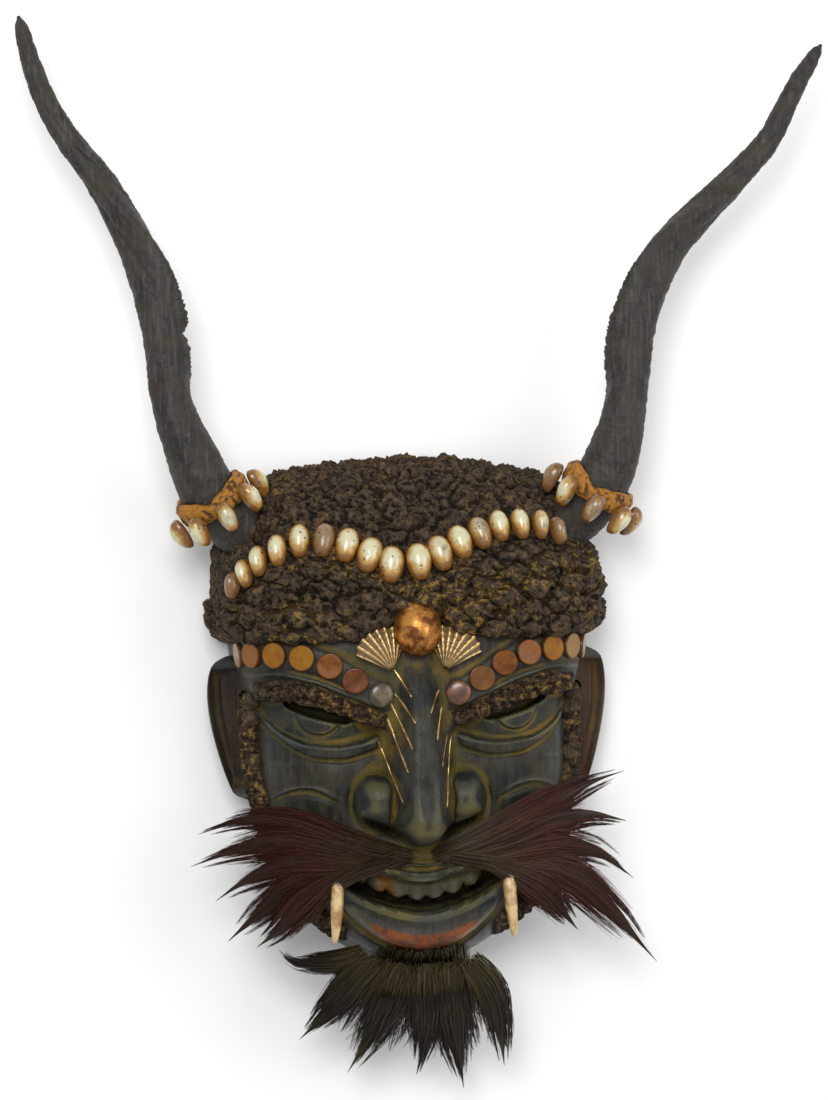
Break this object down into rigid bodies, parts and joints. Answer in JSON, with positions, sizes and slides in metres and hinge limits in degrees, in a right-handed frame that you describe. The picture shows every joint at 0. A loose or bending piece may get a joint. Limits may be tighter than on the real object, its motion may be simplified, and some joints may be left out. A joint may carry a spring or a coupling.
{
  "type": "shaman mask",
  "caption": "Carved wooden spirit mask with twisted horns, knotted hair crust, cowrie garland, fangs, moustache and beard, hollow behind.",
  "frame": {"origin": "On the flat back rim at the middle of the chin, at the height of the table the mask lies on: the mount back_rim.", "axes": "+Z out of the face and up from the table, +Y from chin to crown and along the horns, +X to the viewer's right. x = 0 is the mask's middle plane."},
  "size_m": [0.4895, 0.6536, 0.1261],
  "materials": {
    "blackened_wood": "dark, rubbed smooth, ochre dirt in the hollows",
    "knotted_paste": "dried resin and fibre paste, matt and crumbly",
    "ochre_resin": "orange resin, crumbly",
    "cowrie_shell": "polished shell, chipped and stained",
    "dark_horn": "natural horn with fine rings, dull",
    "old_bone": "yellowed bone, half polished",
    "worn_gilt": "gilded, worn through to copper red",
    "gilded_shell": "ribbed shell with thin gilding",
    "horse_hair": "coarse animal hair, red-brown to black",
    "amber_disc": "thin slices of amber coloured horn, half polished",
    "dark_bead": "dark polished bead"
  },
  "bodies": {
    "root": {"carved_mask": "blackened_wood", "hair_crust": "knotted_paste", "eyebrow_left": "knotted_paste", "eyebrow_right": "knotted_paste", "sideburn_left": "knotted_paste", "sideburn_right": "knotted_paste", "horn_left": "dark_horn", "horn_right": "dark_horn", "horn_collar_left": "ochre_resin", "horn_collar_right": "ochre_resin", "moustache_left": "horse_hair", "moustache_right": "horse_hair", "beard": "horse_hair", "fang_left": "old_bone", "fang_right": "old_bone", "forehead_boss": "worn_gilt", "scallop_left": "gilded_shell", "scallop_right": "gilded_shell", "brow_disc_left_1": "amber_disc", "brow_disc_left_2": "amber_disc", "brow_disc_left_3": "amber_disc", "brow_disc_left_4": "amber_disc", "brow_disc_left_5": "amber_disc", "brow_disc_left_6": "amber_disc", "brow_disc_right_1": "amber_disc", "brow_disc_right_2": "amber_disc", "brow_disc_right_3": "amber_disc", "brow_disc_right_4": "amber_disc", "brow_disc_right_5": "amber_disc", "brow_disc_right_6": "amber_disc", "brow_disc_right_7": "amber_disc", "brow_bead_left": "dark_bead", "brow_bead_right": "dark_bead", "garland_shell_01": "cowrie_shell", "garland_shell_02": "cowrie_shell", "garland_shell_03": "cowrie_shell", "garland_shell_04": "cowrie_shell", "garland_shell_05": "cowrie_shell", "garland_shell_06": "cowrie_shell", "garland_shell_07": "cowrie_shell", "garland_shell_08": "cowrie_shell", "garland_shell_09": "cowrie_shell", "garland_shell_10": "cowrie_shell", "garland_shell_11": "cowrie_shell", "garland_shell_12": "cowrie_shell", "garland_shell_13": "cowrie_shell", "garland_shell_14": "cowrie_shell", "garland_shell_15": "cowrie_shell", "garland_shell_16": "cowrie_shell", "garland_shell_17": "cowrie_shell", "collar_shell_left_1": "cowrie_shell", "collar_shell_left_2": "cowrie_shell", "collar_shell_left_3": "cowrie_shell", "collar_shell_left_4": "cowrie_shell", "collar_shell_left_5": "cowrie_shell", "collar_shell_right_1": "cowrie_shell", "collar_shell_right_2": "cowrie_shell", "collar_shell_right_3": "cowrie_shell", "collar_shell_right_4": "cowrie_shell", "collar_shell_right_5": "cowrie_shell"}
  },
  "joints": []
}
